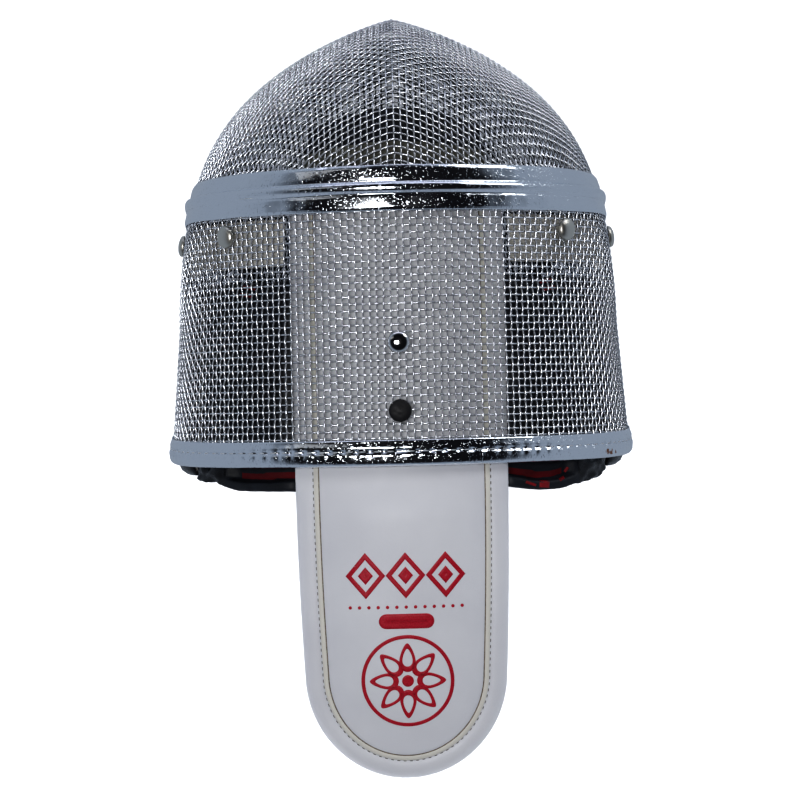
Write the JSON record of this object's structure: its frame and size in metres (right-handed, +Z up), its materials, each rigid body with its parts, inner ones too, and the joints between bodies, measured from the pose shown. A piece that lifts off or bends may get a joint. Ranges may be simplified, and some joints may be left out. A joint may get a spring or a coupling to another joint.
{
  "type": "fencing mask",
  "caption": "Woven wire sports mask with a keeled face, a saddle crown, bright taped seams, a padded rear tongue, inner pads and a white bib it stands on.",
  "frame": {"origin": "on the floor under the middle of the mask's box, level with the bib's lower edge", "axes": "+Z up as worn and as it stands, the face towards -Y and the tongue towards +Y, +X to the wearer's left"},
  "size_m": [0.2192, 0.3704, 0.3469],
  "materials": {
    "steel_mesh": "bright woven steel wire",
    "bright_tape": "mirror foil on tape, lightly pitted and creased",
    "white_leather": "white coated leathercloth, fine grain",
    "polished_nickel": "polished",
    "satin_nickel": "satin",
    "grey_webbing": "woven webbing",
    "black_padding": "soft black padding"
  },
  "bodies": {
    "root": {"crown_mesh": "steel_mesh", "face_mesh": "steel_mesh", "seam_band": "bright_tape", "rim_trim": "bright_tape", "tongue": "white_leather", "tongue_rivet_front": "polished_nickel", "tongue_rivet_rear": "polished_nickel", "strap_rivet_upper_left": "satin_nickel", "strap_rivet_upper_right": "satin_nickel", "strap_rivet_lower_left": "satin_nickel", "strap_rivet_lower_right": "satin_nickel", "liner_strap_left": "grey_webbing", "liner_strap_right": "grey_webbing", "temple_pad_left": "black_padding", "temple_pad_right": "black_padding", "cheek_pad_left": "black_padding", "cheek_pad_right": "black_padding", "forehead_pad": "black_padding", "bib": "white_leather"}
  },
  "joints": []
}
